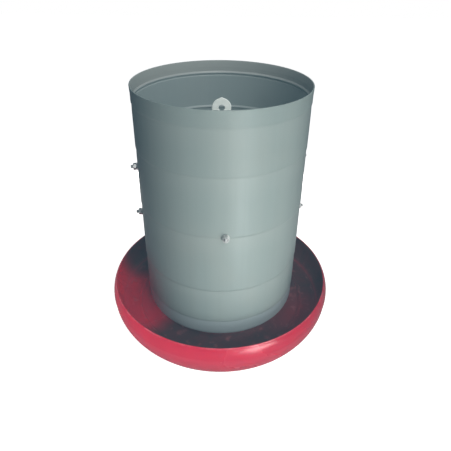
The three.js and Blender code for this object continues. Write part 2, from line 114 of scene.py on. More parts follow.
CREASE_RADIUS = high("pan").x
CREASE_HEIGHT = 43
CREASE_STEP = 0.8
LIP_HEIGHT = 65
LIP_RADIUS = CREASE_RADIUS - 6
LIP_EDGE = 0.95  # radius of the rounding along the lip
PAN_BASE_RADIUS = CREASE_RADIUS - 14
SKIRT_CONTROL_HEIGHT = 20  # heights of the control points of the pan's curves
BOWL_CONTROL_HEIGHT = 18
LIP_CONTROL_HEIGHT = 55.5
INNER_LIP_CONTROL_HEIGHT = 54.5
PAN_WALL = 2.8
FOOT_RING = 7
FLOOR_TOP = 6
FLOOR_UNDERSIDE = FLOOR_TOP - PAN_WALL
FLOOR_EDGE_RADIUS = 184
RIDGE_RADIUS = 160
RIDGE_HEIGHT = 2.2
RIDGE_HALF_WIDTH = 3
CONE_FOOT_RADIUS = 118
CONE_TOP_RADIUS = 38
CONE_TOP = high("pan").z
CONE_CORNER_SHIFT = 1.2

STEM_TOP = high("stem").z
STEM_BOTTOM = low("stem").z
STEM_RADIUS = high("stem").y
STEM_WALL = 1.5
EYE_HALF_THICKNESS = 1.6
EYE_HALF_GAP = 0.3  # left between the walls where the tube is pressed flat
EYE_RING_PITCH = 2  # at most this far between the rings where the tube changes shape
EYE_HOLE_RADIUS = 5
EYE_CROWN = (3.5, STEM_TOP - 1.2)  # where the eye's arch meets its nearly level top
EYE_HOLE_HEIGHT = STEM_TOP - 16.5
EYE_SHOULDER = STEM_TOP - 14.5
EYE_FLAT_FROM = STEM_TOP - 18.5
EYE_ROUND_BELOW = STEM_TOP - 46.5
SETTING_PITCH = 15
SETTING_COUNT = 6
SETTING_RADIUS = 3.3

COLLAR_RADIUS = 14
FLANGE_THICKNESS = 2.5
RIVET_RADIUS = 2.2
RIVET_HEAD = 4
RIVET_HEAD_HEIGHT = 1.8

PIN_RADIUS = 3
PIN_BEND = 7
PIN_TIP = 1  # rounding of both ends of the wire

BAR_WIDTH = 30
BAR_THICKNESS = 3
BAR_BEND = 5  # outside of the bend
BAR_EDGE = 0.5
BAR_CORNER = 3.5
SLIDE_GAP = 0.4
BOLT_GAP = 0.3

Thread = namedtuple("Thread", "radius pitch head head_height washer across_flats")
M6 = Thread(3, 1, 5.6, 3.6, 6.2, 10)
M5 = Thread(2.5, 0.8, 4.6, 3, 5.5, 8)
THREAD_DEPTH = 0.61  # times the pitch
THREAD_ROWS = 8  # rings to each pitch
PLAIN_SHANK = 0.35  # share of a screw's length without thread
RECESS_DEPTH = 1.7
NUT_BEVEL = math.pi / 6
NUT_SINK = 0.45

CUTTER_LENGTH = 40  # through any one wall
CUTTER_SIDES = 48

# ---------------------------------------------------------------- outlines


def rounded(corners, loop=True, pieces=5):
    """Outline through (x, y, fillet radius) corners, with each fillet as an arc."""
    outline = []
    count = len(corners)
    for index, (x, y, radius) in enumerate(corners):
        here = Vector((x, y))
        at_end = not loop and index in (0, count - 1)
        if radius == 0 or at_end:
            outline.append(here)
            continue
        before = (Vector(corners[index - 1][:2]) - here).normalized()
        after = (Vector(corners[(index + 1) % count][:2]) - here).normalized()
        half = before.angle(after) / 2
        centre = here + (before + after).normalized() * radius / math.sin(half)
        start = here + before * radius / math.tan(half) - centre
        end = here + after * radius / math.tan(half) - centre
        turn = math.pi - 2 * half
        for piece in range(pieces + 1):
            share = piece / pieces
            weights = math.sin((1 - share) * turn), math.sin(share * turn)
            outline.append(centre + (start * weights[0] + end * weights[1]) / math.sin(turn))
    return outline


def curve(start, control, end, pieces=12):
    """Quadratic curve as corners without fillets."""
    start, control, end = Vector(start), Vector(control), Vector(end)
    corners = []
    for piece in range(pieces + 1):
        share = piece / pieces
        point = start * (1 - share) ** 2 + control * 2 * share * (1 - share) + end * share**2
        corners.append((point.x, point.y, 0))
    return corners


def arc(centre_x, centre_y, radius, first, last, pieces=14):
    """Arc between two angles in degrees, as corners without fillets."""
    corners = []
    for piece in range(pieces + 1):
        angle = math.radians(first + (last - first) * piece / pieces)
        corners.append((centre_x + radius * math.cos(angle), centre_y + radius * math.sin(angle), 0))
    return corners


def divided(outline, longest, loop=True):
    """The same outline with its long straight stretches cut into shorter ones."""
    result = []
    pairs = zip(outline, outline[1:] + outline[:1]) if loop else zip(outline, outline[1:])
    for start, end in pairs:
        parts = max(1, math.ceil((end - start).length / longest))
        result += [start.lerp(end, part / parts) for part in range(parts)]
    return result if loop else result + [outline[-1]]


def circle(radius, sides):
    return [(radius * math.cos(2 * math.pi * i / sides), radius * math.sin(2 * math.pi * i / sides))
            for i in range(sides)]


# ---------------------------------------------------------------- surfaces


def skin(rings, loop=False):
    """Closed surface through rings of equal length, as (points, faces).

    The first and last rings are closed by fans, unless the last ring joins the first.
    """
    count = len(rings[0])
    points = [Vector(point) for ring in rings for point in ring]
    faces = []
    for level in range(len(rings) if loop else len(rings) - 1):
        here = level * count
        above = (level + 1) % len(rings) * count
        for side in range(count):
            beside = (side + 1) % count
            faces.append((here + side, here + beside, above + beside, above + side))
    if not loop:
        for start in (0, (len(rings) - 1) * count):
            points.append(sum(points[start:start + count], Vector()) / count)
            hub = len(points) - 1
            faces += [(hub, start + side, start + (side + 1) % count) for side in range(count)]
    return points, faces


def turned(outline, sides):
    """Turns an outline about the Z axis. One that starts on the axis also ends on it."""
    on_axis = outline[0][0] < MM
    rings = [[(x, y, height) for x, y in circle(radius, sides)]
             for radius, height in outline if radius > MM]
    return skin(rings, loop=not on_axis)


def carried(path, section):
    """Carries a section along a path in the XZ plane.

    section(distance to the nearer end) gives its (normal, sideways) points.
    """
    lengths = [0]
    for start, end in zip(path, path[1:]):
        lengths.append(lengths[-1] + (end - start).length)
    rings = []
    for index, point in enumerate(path):
        ahead = path[min(index + 1, len(path) - 1)] - path[max(index - 1, 0)]
        normal = Vector((-ahead.y, ahead.x)).normalized()
        to_end = min(lengths[index], lengths[-1] - lengths[index])
        ring = []
        for out, sideways in section(to_end):
            ring.append((point.x + normal.x * out, sideways, point.y + normal.y * out))
        rings.append(ring)
    return skin(rings)


def with_close_ends(path, steps=(0.06, 0.2, 0.5, 1, 2, 3.5)):
    """Adds points near both ends of a path, where a section is rounded off."""
    first = (path[1] - path[0]).normalized()
    last = (path[-2] - path[-1]).normalized()
    start = [path[0] + first * step for step in steps]
    end = [path[-1] + last * step for step in reversed(steps)]
    return [path[0], *start, *path[1:-1], *end, path[-1]]


def inset(distance, radius):
    """How far a rounded end of this radius has drawn in at a distance from the end."""
    if distance >= radius:
        return 0
    return radius - math.sqrt(radius**2 - (radius - distance) ** 2)


def aimed(origin, direction):
    """Places a shape made along +Z at a point, turned to a direction."""
    return Matrix.Translation(origin) @ direction.to_track_quat("Z", "Y").to_matrix().to_4x4()


def solid(name, shape, place=Matrix()):
    points, faces = shape
    mesh = bpy.data.meshes.new(name)
    mesh.from_pydata([place @ point * MM for point in points], [], faces)
    work = bmesh.new()
    work.from_mesh(mesh)
    bmesh.ops.recalc_face_normals(work, faces=work.faces)
    work.to_mesh(mesh)
    work.free()
    thing = bpy.data.objects.new(name, mesh)
    bpy.context.collection.objects.link(thing)
    return thing


def carve(thing, tools):
    """Cuts tools out of a solid, and deletes the tools."""
    for tool in tools:
        modifier = thing.modifiers.new("carve", "BOOLEAN")
        modifier.object = tool
        modifier.solver = "MANIFOLD"
    shown = bpy.context.evaluated_depsgraph_get()
    thing.data = bpy.data.meshes.new_from_object(thing.evaluated_get(shown))
    thing.modifiers.clear()
    for tool in tools:
        bpy.data.objects.remove(tool)


def drill(radius, origin, direction, length=CUTTER_LENGTH, sides=CUTTER_SIDES):
    """A round cutting tool centred on a point."""
    ring = circle(radius, sides)
    shape = skin([[(x, y, height) for x, y in ring] for height in (-length / 2, length / 2)])
    return solid("drill", shape, aimed(origin, direction))


def finish_piece(thing, node, body, slot, sharp=30):
    """Gives a piece its material, smooth faces and body, and hides the CAD node that it replaces; sharp
    is an angle in degrees.
    """
    mesh = thing.data
    mesh.materials.clear()
    mesh.materials.append(MATERIALS[slot])
    mesh.shade_smooth()
    mesh.set_sharp_from_angle(angle=math.radians(sharp))
    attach(thing, body)
    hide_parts(node)


# ---------------------------------------------------------------- materials

# Numbers of the Mix node's colour sockets, because several of its sockets share a name.
MIX_FACTOR, MIX_FIRST, MIX_SECOND, MIX_RESULT = 0, 6, 7, 2

# Colours, as linear (red, green, blue).
TUB_GREY = (0.335, 0.415, 0.390)
TUB_GREY_LOW = (0.325, 0.413, 0.400)
TUB_PALE_STREAK = (0.375, 0.445, 0.41)
TUB_DARK_STREAK = (0.27, 0.33, 0.31)
TUB_PATCH = (0.39, 0.44, 0.40)
TUB_SPECK = (0.16, 0.17, 0.15)
TUB_INSIDE = (0.37, 0.455, 0.46)
TUB_INSIDE_RIM = (0.425, 0.465, 0.435)
# The next three colours are painted light on the tub: a highlight below each step, a highlight on upward
# faces inside, and a paler lowest band.
STEP_PAINTED_HIGHLIGHT = (0.50, 0.56, 0.52)
LEDGE_PAINTED_HIGHLIGHT = (0.62, 0.66, 0.64)
LOW_BAND_PAINTED_LIGHT = (0.45, 0.55, 0.57)
PAN_RED = (0.54, 0.012, 0.042)
PAN_RED_PATCH = (0.59, 0.018, 0.054)
# The next four colours are painted light and shade: a floor reflection on the skirt, a pool of light
# inside on the left, shade over the rest of the inside, and a highlight along the lip.
PAN_SKIRT_SHEEN = (0.62, 0.07, 0.11)
PAN_PAINTED_LIGHT = (0.86, 0.03, 0.085)
PAN_PAINTED_SHADE = (0.075, 0.060, 0.060)
PAN_LIP_HIGHLIGHT = (0.66, 0.16, 0.19)
PAN_SCUFF = (0.55, 0.20, 0.22)
SPANGLE_DARK = (0.70, 0.74, 0.70)
SPANGLE_PALE = (0.77, 0.80, 0.77)
TUBE_BLOOM = (0.82, 0.84, 0.80)
ZINC = (0.72, 0.74, 0.72)
ZINC_TARNISH = (0.60, 0.62, 0.60)

# Inside the materials, heights and distances are metres. These are places in the pan.
LIT_PLACE = (-0.168, -0.030, 0.02)  # left side, centre of the painted pool of light
LIGHTER_SHADE_PLACE = (0.170, -0.075, 0.02)  # right side, where the painted shade is lighter

GRAIN_DEPTH = 0.025  # bump of the moulded plastics


class Paint:
    """A material's nodes, with short calls for the ones that the materials share."""

    def __init__(self, name):
        self.material = bpy.data.materials.new(name)
        self.material.use_nodes = True
        self.nodes = self.material.node_tree.nodes
        self.links = self.material.node_tree.links
        self.place = self.add("ShaderNodeTexCoord").outputs["Object"]

    def add(self, kind, inputs=(), **settings):
        """Adds a node; an input that is a socket is linked, and anything else is its value."""
        node = self.nodes.new(kind)
        for key, value in settings.items():
            setattr(node, key, value)
        for key, value in dict(inputs).items():
            if isinstance(value, bpy.types.NodeSocket):
                self.links.new(value, node.inputs[key])
            else:
                node.inputs[key].default_value = value
        return node

    def stretched(self, x, y, z):
        """Object coordinates multiplied axis by axis."""
        return self.add("ShaderNodeMapping", {"Vector": self.place, "Scale": (x, y, z)}).outputs[0]

    def noise(self, vector, scale, detail=2, roughness=0.5):
        inputs = {"Vector": vector, "Scale": scale, "Detail": detail, "Roughness": roughness}
        return self.add("ShaderNodeTexNoise", inputs).outputs["Fac"]

    def ramp(self, value, start, end, first=0, last=1):
        """Maps start..end to first..last, held level beyond them."""
        inputs = {"Value": value, "From Min": start, "From Max": end, "To Min": first, "To Max": last}
        return self.add("ShaderNodeMapRange", inputs, interpolation_type="SMOOTHSTEP").outputs[0]

    def math(self, operation, first, second=0):
        return self.add("ShaderNodeMath", {0: first, 1: second}, operation=operation).outputs[0]

    def blend(self, factor, first, second):
        """Mixes two colours; each is a socket or (red, green, blue)."""
        first, second = [colour if isinstance(colour, bpy.types.NodeSocket) else (*colour, 1)
                         for colour in (first, second)]
        inputs = {MIX_FACTOR: factor, MIX_FIRST: first, MIX_SECOND: second}
        return self.add("ShaderNodeMix", inputs, data_type="RGBA").outputs[MIX_RESULT]

    def bump(self, height, depth, normal=None):
        """Bump of a depth in millimetres."""
        inputs = {"Height": height, "Distance": depth * MM, "Strength": 1}
        if normal:
            inputs["Normal"] = normal
        return self.add("ShaderNodeBump", inputs).outputs[0]

    def part(self, name):
        """One of X, Y, Z of the object coordinates."""
        return self.add("ShaderNodeSeparateXYZ", {0: self.place}).outputs[name]

    def distance(self, place):
        """Distance from a place, in metres."""
        node = self.add("ShaderNodeVectorMath", {0: self.place, 1: place}, operation="DISTANCE")
        return node.outputs["Value"]

    def facing_up(self, start, end, last=1):
        """Maps the upward part of the surface's normal, start..end, to 0..last."""
        normal = self.add("ShaderNodeNewGeometry").outputs["Normal"]
        height = self.add("ShaderNodeSeparateXYZ", {0: normal}).outputs["Z"]
        return self.ramp(height, start, end, 0, last)

    def facing_in(self, place, start, end):
        """Maps the dot product of the normal and a place's coordinates, start..end, to 0..1.

        The product is below zero where the surface faces the feeder's axis.
        """
        normal = self.add("ShaderNodeNewGeometry").outputs["Normal"]
        reach = self.add("ShaderNodeVectorMath", {0: normal, 1: place}, operation="DOT_PRODUCT")
        return self.ramp(reach.outputs["Value"], start, end)

    def radius(self):
        """Distance from the feeder's axis, in metres."""
        x = self.math("MULTIPLY", self.part("X"), self.part("X"))
        y = self.math("MULTIPLY", self.part("Y"), self.part("Y"))
        return self.math("SQRT", self.math("ADD", x, y))

    def surface(self, **inputs):
        shader = self.nodes["Principled BSDF"]
        for key, value in inputs.items():
            socket = shader.inputs[key.replace("_", " ")]
            if isinstance(value, bpy.types.NodeSocket):
                self.links.new(value, socket)
            else:
                socket.default_value = value
        return self.material


def grey_plastic():
    """Semi-matte moulded plastic with soft upright draw marks and a fine grain.

    Painted highlights lie below each step and on the ledges and other upward faces inside, painted light
    makes the lowest band paler, and the inside is bluer.
    """
    paint = Paint("grey_plastic")
    height = paint.part("Z")
    broad = paint.noise(paint.stretched(24, 24, 0.8), 1, 3)
    fine = paint.noise(paint.stretched(110, 110, 2.5), 1, 2)
    patches = paint.noise(paint.place, 9, 4)
    specks = paint.ramp(paint.noise(paint.place, 620, 1), 0.75, 0.8)

    colour = paint.blend(paint.ramp(height, 0.03, 0.2, 1, 0), TUB_GREY, TUB_GREY_LOW)
    colour = paint.blend(paint.ramp(broad, 0.35, 0.7, 0, 0.4), colour, TUB_PALE_STREAK)
    colour = paint.blend(paint.ramp(fine, 0.45, 0.75, 0, 0.12), colour, TUB_DARK_STREAK)
    colour = paint.blend(paint.ramp(patches, 0.5, 0.72, 0, 0.3), colour, TUB_PATCH)
    # Painted highlight: a paler strip just below each step, where the band below catches more light.
    for depth in STEP_DEPTHS:
        step = (RIM - depth) * MM
        fading = paint.ramp(height, step - 0.045, step - 0.002)
        painted_shading = paint.math("MULTIPLY", fading, paint.ramp(height, step + 0.001, step - 0.003))
        colour = paint.blend(paint.math("MULTIPLY", painted_shading, 0.17), colour, STEP_PAINTED_HIGHLIGHT)
    # Painted light: the lowest band, below the last step, is made paler.
    last_step = (RIM - STEP_DEPTHS[-1]) * MM
    low_band_light = paint.ramp(height, last_step + 0.002, last_step - 0.004, 0, 0.7)
    colour = paint.blend(low_band_light, colour, LOW_BAND_PAINTED_LIGHT)

    inside = paint.facing_in(paint.stretched(1, 1, 0), -0.03, -0.09)
    ledge = RIM - LEDGE_DEPTHS[0]
    above_ledge = paint.ramp(height, ledge * MM, (ledge + LEDGE_HEIGHT) * MM)
    colour = paint.blend(paint.math("MULTIPLY", inside, 0.6), colour, TUB_INSIDE)
    colour = paint.blend(paint.math("MULTIPLY", inside, above_ledge), colour, TUB_INSIDE_RIM)
    # Painted highlight on the upward faces inside the tub, such as the ledges.
    upward_highlight = paint.math("MULTIPLY", inside, paint.facing_up(0.2, 0.4, 0.35))
    colour = paint.blend(upward_highlight, colour, LEDGE_PAINTED_HIGHLIGHT)
    colour = paint.blend(paint.math("MULTIPLY", specks, 0.25), colour, TUB_SPECK)

    roughness = paint.ramp(patches, 0.3, 0.75, 0.34, 0.44)
    normal = paint.bump(paint.noise(paint.place, 1500, 2), GRAIN_DEPTH)
    normal = paint.bump(broad, 0.5, normal)
    return paint.surface(Base_Color=colour, Roughness=roughness, Normal=normal, IOR=1.5)


def red_plastic():
    """Satin red plastic with a painted floor reflection on its skirt, a painted highlight along the lip,
    and scuffs round the base.

    Its inside carries painted shade, lighter on the right, apart from a painted pool of light on the
    left.
    """
    paint = Paint("red_plastic")
    height = paint.part("Z")
    radius = paint.radius()
    patches = paint.noise(paint.place, 14, 4)
    mottle = paint.noise(paint.place, 70, 4, 0.6)
    colour = paint.blend(paint.ramp(patches, 0.3, 0.75), PAN_RED, PAN_RED_PATCH)
    # Painted floor reflection: the skirt below the crease is paler.
    skirt = paint.ramp(height, (CREASE_HEIGHT + 1) * MM, (CREASE_HEIGHT - 5) * MM, 0, 0.3)
    colour = paint.blend(skirt, colour, PAN_SKIRT_SHEEN)

    # Painted light and shade inside the pan: a painted pool of light on the left, painted shade over the
    # rest.
    facing_in = paint.facing_in(paint.place, -0.05, -0.15)
    inside = paint.math("MAXIMUM", paint.facing_up(0.5, 0.95), facing_in)
    inside = paint.math("MULTIPLY", inside, paint.ramp(radius, 0.2, 0.19))
    inside = paint.math("MAXIMUM", inside, facing_in)
    outside_lit_patch = paint.ramp(paint.distance(LIT_PLACE), 0.06, 0.112)
    painted_light_patch = paint.math("MULTIPLY", inside, paint.math("SUBTRACT", 1, outside_lit_patch))
    colour = paint.blend(painted_light_patch, colour, PAN_PAINTED_LIGHT)
    # Painted shade over the inside of the pan, mottled and lighter towards the right.
    uneven = paint.ramp(mottle, 0.25, 0.7, 0.84, 0.93)
    painted_shading = paint.math("MULTIPLY", inside, paint.math("MULTIPLY", outside_lit_patch, uneven))
    painted_shading = paint.math("MULTIPLY", painted_shading, paint.ramp(paint.distance(LIGHTER_SHADE_PLACE), 0.02, 0.1, 0.6, 1))
    colour = paint.blend(painted_shading, colour, PAN_PAINTED_SHADE)

    # Painted highlight along the top of the lip, broken into patches.
    patchy_top = paint.math("MULTIPLY", paint.ramp(height, 0.0615, 0.0648), paint.ramp(mottle, 0.35, 0.65))
    lip = paint.math("MULTIPLY", patchy_top, paint.ramp(radius, 0.19, 0.197))
    colour = paint.blend(paint.math("MULTIPLY", lip, 0.5), colour, PAN_LIP_HIGHLIGHT)
    low_band = paint.ramp(height, 0.03, 0.002)
    scuffs = paint.ramp(paint.noise(paint.stretched(60, 60, 700), 1, 3), 0.55, 0.75)
    worn = paint.math("MULTIPLY", paint.math("MULTIPLY", scuffs, low_band), 0.5)
    colour = paint.blend(worn, colour, PAN_SCUFF)

    satin = paint.ramp(patches, 0.3, 0.7, 0.22, 0.28)
    roughness = paint.math("ADD", satin, paint.math("MULTIPLY", painted_shading, 0.3))
    normal = paint.bump(paint.noise(paint.place, 1300, 2), GRAIN_DEPTH)
    normal = paint.bump(patches, 0.25, normal)
    return paint.surface(Base_Color=colour, Roughness=roughness, Normal=normal, IOR=1.5,
                         Subsurface_Weight=0.4, Subsurface_Radius=(1, 0.12, 0.12),
                         Subsurface_Scale=5 * MM)


def galvanised_tube():
    """Dull galvanised steel with a faint spangle."""
    paint = Paint("galvanised_tube")
    spangle = paint.add("ShaderNodeTexVoronoi", {"Vector": paint.place, "Scale": 210}).outputs["Color"]
    shade = paint.add("ShaderNodeSeparateColor", {0: spangle}).outputs[0]
    patches = paint.noise(paint.place, 60, 4)
    colour = paint.blend(shade, SPANGLE_DARK, SPANGLE_PALE)
    colour = paint.blend(paint.ramp(patches, 0.5, 0.75, 0, 0.6), colour, TUBE_BLOOM)
    roughness = paint.ramp(shade, 0, 1, 0.45, 0.58)
    scratches = paint.noise(paint.stretched(900, 900, 60), 1, 3)
    normal = paint.bump(scratches, 0.03)
    return paint.surface(Base_Color=colour, Metallic=0.15, Roughness=roughness, Normal=normal)


def zinc_steel():
    """Bright zinc plate with tarnish in patches and fine scratches."""
    paint = Paint("zinc_steel")
    patches = paint.noise(paint.place, 110, 4, 0.6)
    colour = paint.blend(paint.ramp(patches, 0.4, 0.7), ZINC, ZINC_TARNISH)
    roughness = paint.ramp(patches, 0.35, 0.7, 0.32, 0.42)
    scratches = paint.noise(paint.stretched(1500, 300, 1500), 1, 3)
    normal = paint.bump(scratches, 0.02)
    return paint.surface(Base_Color=colour, Metallic=0.55, Roughness=roughness, Normal=normal)


MATERIALS = {
    "grey_plastic": grey_plastic(),
    "red_plastic": red_plastic(),
    "galvanised_tube": galvanised_tube(),
    "zinc_steel": zinc_steel(),
}

# ---------------------------------------------------------------- pan

FLANGE_SCREWS = ("flange_1", "flange_2", "flange_3")


def pan_outline():
    foot = PAN_BASE_RADIUS - FOOT_RING
    underside = CONE_TOP - PAN_WALL
    skirt_top = CREASE_RADIUS - CREASE_STEP
    inner = CREASE_RADIUS - PAN_WALL
    lip_outer = (LIP_RADIUS, LIP_HEIGHT - 0.9)
    lip_centre = (LIP_RADIUS - LIP_EDGE, LIP_HEIGHT - LIP_EDGE)
    corners = [
        (0, underside, 0),
        (CONE_TOP_RADIUS - CONE_CORNER_SHIFT, underside, 3),
        (CONE_FOOT_RADIUS - CONE_CORNER_SHIFT, FLOOR_UNDERSIDE, 8),
        (foot - 1, FLOOR_UNDERSIDE, 0.5),
        (foot, 0, 0.8),
        (PAN_BASE_RADIUS - 0.5, 0, 0.4),
    ]
    corners += curve((PAN_BASE_RADIUS, 0.4), (CREASE_RADIUS, SKIRT_CONTROL_HEIGHT),
                     (skirt_top, CREASE_HEIGHT - 1), 20)
    corners.append((skirt_top, CREASE_HEIGHT - 0.6, 0.2))
    corners.append((CREASE_RADIUS, CREASE_HEIGHT, 0.4))
    corners += curve((CREASE_RADIUS, CREASE_HEIGHT + 0.8), (CREASE_RADIUS - 0.3, LIP_CONTROL_HEIGHT),
                     lip_outer, 20)
    corners += arc(*lip_centre, LIP_EDGE, 20, 170, 6)
    corners += curve((LIP_RADIUS - 1.9, LIP_HEIGHT - 1.2), (inner - 0.4, INNER_LIP_CONTROL_HEIGHT),
                     (inner, CREASE_HEIGHT - 1), 14)
    corners += curve((inner, CREASE_HEIGHT - 2), (inner, BOWL_CONTROL_HEIGHT),
                     (PAN_BASE_RADIUS - 2, FLOOR_TOP + 3), 20)
    corners += [
        (FLOOR_EDGE_RADIUS, FLOOR_TOP, 12),
        (RIDGE_RADIUS + RIDGE_HALF_WIDTH + 1, FLOOR_TOP, 2),
        (RIDGE_RADIUS, FLOOR_TOP + RIDGE_HEIGHT, 2),
        (RIDGE_RADIUS - RIDGE_HALF_WIDTH - 1, FLOOR_TOP, 2),
        (CONE_FOOT_RADIUS, FLOOR_TOP, 12),
        (CONE_TOP_RADIUS, CONE_TOP, 5),
        (0, CONE_TOP, 0),
    ]
    return divided(rounded(corners, loop=False), 6, loop=False)


def make_pan():
    pan = solid("pan_moulding", turned(pan_outline(), TURNED_SIDES))
    holes = []
    for screw in FLANGE_SCREWS:
        axis = middle(f"{screw}_washer")
        at = Vector((axis.x, axis.y, CONE_TOP))
        holes.append(drill(M5.radius + BOLT_GAP, at, UP, 6 * PAN_WALL))
    carve(pan, holes)
    finish_piece(pan, "pan", "base", "red_plastic")


# ---------------------------------------------------------------- tub


def band_radius(depth):
    """Outside radius of the tub at a depth below its rim."""
    return BAND_RADIUS - STEP_INSET * sum(step < depth for step in STEP_DEPTHS)


def tub_outline():
    lowest = band_radius(RIM - TUB_BOTTOM)
    corner = (lowest - TUB_CORNER, TUB_BOTTOM + TUB_CORNER)
    mouth = math.radians(-TUB_CORNER_ANGLE)
    middle_radius = TUB_CORNER - TUB_WALL / 2
    edge = (corner[0] + middle_radius * math.cos(mouth), corner[1] + middle_radius * math.sin(mouth))
    corners = arc(*corner, TUB_CORNER, -TUB_CORNER_ANGLE, 0)
    for step in reversed(STEP_DEPTHS):
        band = band_radius(step + 1)
        corners.append((band, RIM - step - SHOULDER_HEIGHT, 300))
        corners.append((band - SHOULDER_DEPTH, RIM - step - STEP_FOOT, 5))
        corners.append((band_radius(step - 1), RIM - step + STEP_START, 4))
    corners += [
        (BAND_RADIUS, RIM - FLARE_HEIGHT, 30),
        (RIM_RADIUS, RIM, RIM_EDGE),
        (RIM_RADIUS - TUB_WALL, RIM, RIM_EDGE),
        (BAND_RADIUS - TUB_WALL, RIM - FLARE_HEIGHT, 30),
    ]
    marks = [(depth, False) for depth in STEP_DEPTHS] + [(depth, True) for depth in LEDGE_DEPTHS]
    for depth, is_ledge in sorted(marks):
        height = RIM - depth
        wall = band_radius(depth - 1) - TUB_WALL
        if is_ledge:
            corners.append((wall, height + LEDGE_HEIGHT, 2))
            corners.append((wall - LEDGE_DEPTH, height + 2, 1))
            corners.append((wall - LEDGE_DEPTH, height + 0.6, 0.3))
            corners.append((wall, height, 0.2))
        else:
            corners.append((wall, height - INNER_STEP_START, 0.3))
            corners.append((wall - STEP_INSET, height - INNER_STEP_FOOT, 0.6))
    corners += arc(*corner, TUB_CORNER - TUB_WALL, 0, -TUB_CORNER_ANGLE)
    corners += arc(*edge, TUB_WALL / 2, 195 - TUB_CORNER_ANGLE, 345 - TUB_CORNER_ANGLE, 6)
    return divided(rounded(corners, pieces=4), 7)


WALL_BOLTS = (
    "cross_bolt_left",
    "cross_bolt_right",
    "cross_bolt_front",
    "cross_bolt_back",
    "guide_bolt_left",
    "guide_bolt_right",
)


def make_tub():
    tub = solid("tub_moulding", turned(tub_outline(), TURNED_SIDES))
    holes = [drill(M6.radius + BOLT_GAP, middle(f"{bolt}_washer"), outward(f"{bolt}_washer"))
             for bolt in WALL_BOLTS]
    carve(tub, holes)
    finish_piece(tub, "tub", "hopper", "grey_plastic")


# ---------------------------------------------------------------- stem


def slot_ring(height, half_width, half_depth):
    """Level round-ended outline, doubly symmetric."""
    straight = half_width - half_depth
    half = SMALL_SIDES // 2
    ring = []
    for side in (1, -1):
        for index in range(half):
            angle = -math.pi / 2 + math.pi * (index + 0.5) / half
            x = side * (straight + half_depth * math.cos(angle))
            y = side * half_depth * math.sin(angle)
            ring.append((x, y, height))
    return ring


def flattened(height, round_radius, flat_half_depth):
    """Ring of the tube where its top is pressed flat; the distance round it stays the same."""
    share = (height - EYE_ROUND_BELOW) / (EYE_FLAT_FROM - EYE_ROUND_BELOW)
    share = min(max(share, 0), 1)
    share = share * share * (3 - 2 * share)
    half_depth = round_radius + (flat_half_depth - round_radius) * share
    half_width = half_depth + math.pi / 2 * (round_radius - half_depth)
    return slot_ring(height, half_width, half_depth)


def stem_levels(start, end):
    """Heights of the tube's rings: its two ends, and close together where it is pressed flat."""
    count = math.ceil((EYE_FLAT_FROM - EYE_ROUND_BELOW) / EYE_RING_PITCH)
    pressed = [EYE_ROUND_BELOW + (EYE_FLAT_FROM - EYE_ROUND_BELOW) * i / count for i in range(count + 1)]
    return [start, *pressed, end]


def make_stem():
    bore = STEM_RADIUS - STEM_WALL
    inside = [flattened(height, bore, EYE_HALF_GAP)
              for height in stem_levels(STEM_BOTTOM, EYE_FLAT_FROM + 0.5)]
    outside = [flattened(height, STEM_RADIUS, EYE_HALF_THICKNESS)
               for height in stem_levels(STEM_BOTTOM, EYE_SHOULDER)]
    widest = EYE_HALF_THICKNESS + math.pi / 2 * (STEM_RADIUS - EYE_HALF_THICKNESS)
    arch = curve((widest, EYE_SHOULDER), (widest - 2, EYE_SHOULDER + 10), EYE_CROWN, 14)
    arch += curve(EYE_CROWN, (1.6, STEM_TOP), (0.4, STEM_TOP), 5)[1:]
    # The eye keeps its thickness up to its crown, where its edge is rounded off.
    for half_width, height, _ in arch[1:]:
        half_depth = min(EYE_HALF_THICKNESS, half_width, 0.5 + (STEM_TOP - height) * 1.2)
        outside.append(slot_ring(height, half_width, half_depth))
    stem = solid("stem_tube", skin(list(reversed(inside)) + outside))
    pin_height = high("height_pin").z - PIN_RADIUS
    tools = [drill(SETTING_RADIUS, Vector((0, 0, pin_height + i * SETTING_PITCH)), FORWARDS)
             for i in range(SETTING_COUNT)]
    tools.append(drill(RIVET_RADIUS + BOLT_GAP, middle("stem_rivet"), RIGHT))
    tools.append(eye_tool())
    carve(stem, tools)
    finish_piece(stem, "stem", "base", "galvanised_tube")


def eye_tool():
    """Cutting tool for the hanging hole, with flared mouths that break its edges."""
    outline = [
        (EYE_HOLE_RADIUS + 2.6, EYE_HALF_THICKNESS + 2),
        (EYE_HOLE_RADIUS + 0.45, EYE_HALF_THICKNESS - 0.15),
        (EYE_HOLE_RADIUS + 0.1, EYE_HALF_THICKNESS - 0.45),
        (EYE_HOLE_RADIUS, EYE_HALF_THICKNESS - 0.9),
    ]
    outline += [(radius, -height) for radius, height in reversed(outline)]
    rings = [[(x, y, height) for x, y in circle(radius, SMALL_SIDES)] for radius, height in outline]
    return solid("drill", skin(rings), aimed(Vector((0, 0, EYE_HOLE_HEIGHT)), FORWARDS))


# ---------------------------------------------------------------- stem flange and rivet


def make_flange():
    bore = STEM_RADIUS + BOLT_GAP
    bottom = low("stem_flange").z
    top = high("stem_flange").z
    radius = high("stem_flange").x
    outline = rounded([
        (bore, bottom, 0.4),
        (radius, bottom, 0.5),
        (radius, bottom + FLANGE_THICKNESS, 1),
        (COLLAR_RADIUS, bottom + FLANGE_THICKNESS, 3),
        (COLLAR_RADIUS, top, 0.9),
        (bore, top, 0.6),
    ])
    flange = solid("stem_collar", turned(divided(outline, 3), 2 * SMALL_SIDES))
    holes = [drill(RIVET_RADIUS + BOLT_GAP, middle("stem_rivet"), RIGHT, 60)]
    for screw in FLANGE_SCREWS:
        axis = middle(f"{screw}_washer")
        holes.append(drill(M5.radius + BOLT_GAP, Vector((axis.x, axis.y, bottom)), UP, 20))
    carve(flange, holes)
    finish_piece(flange, "stem_flange", "base", "zinc_steel")


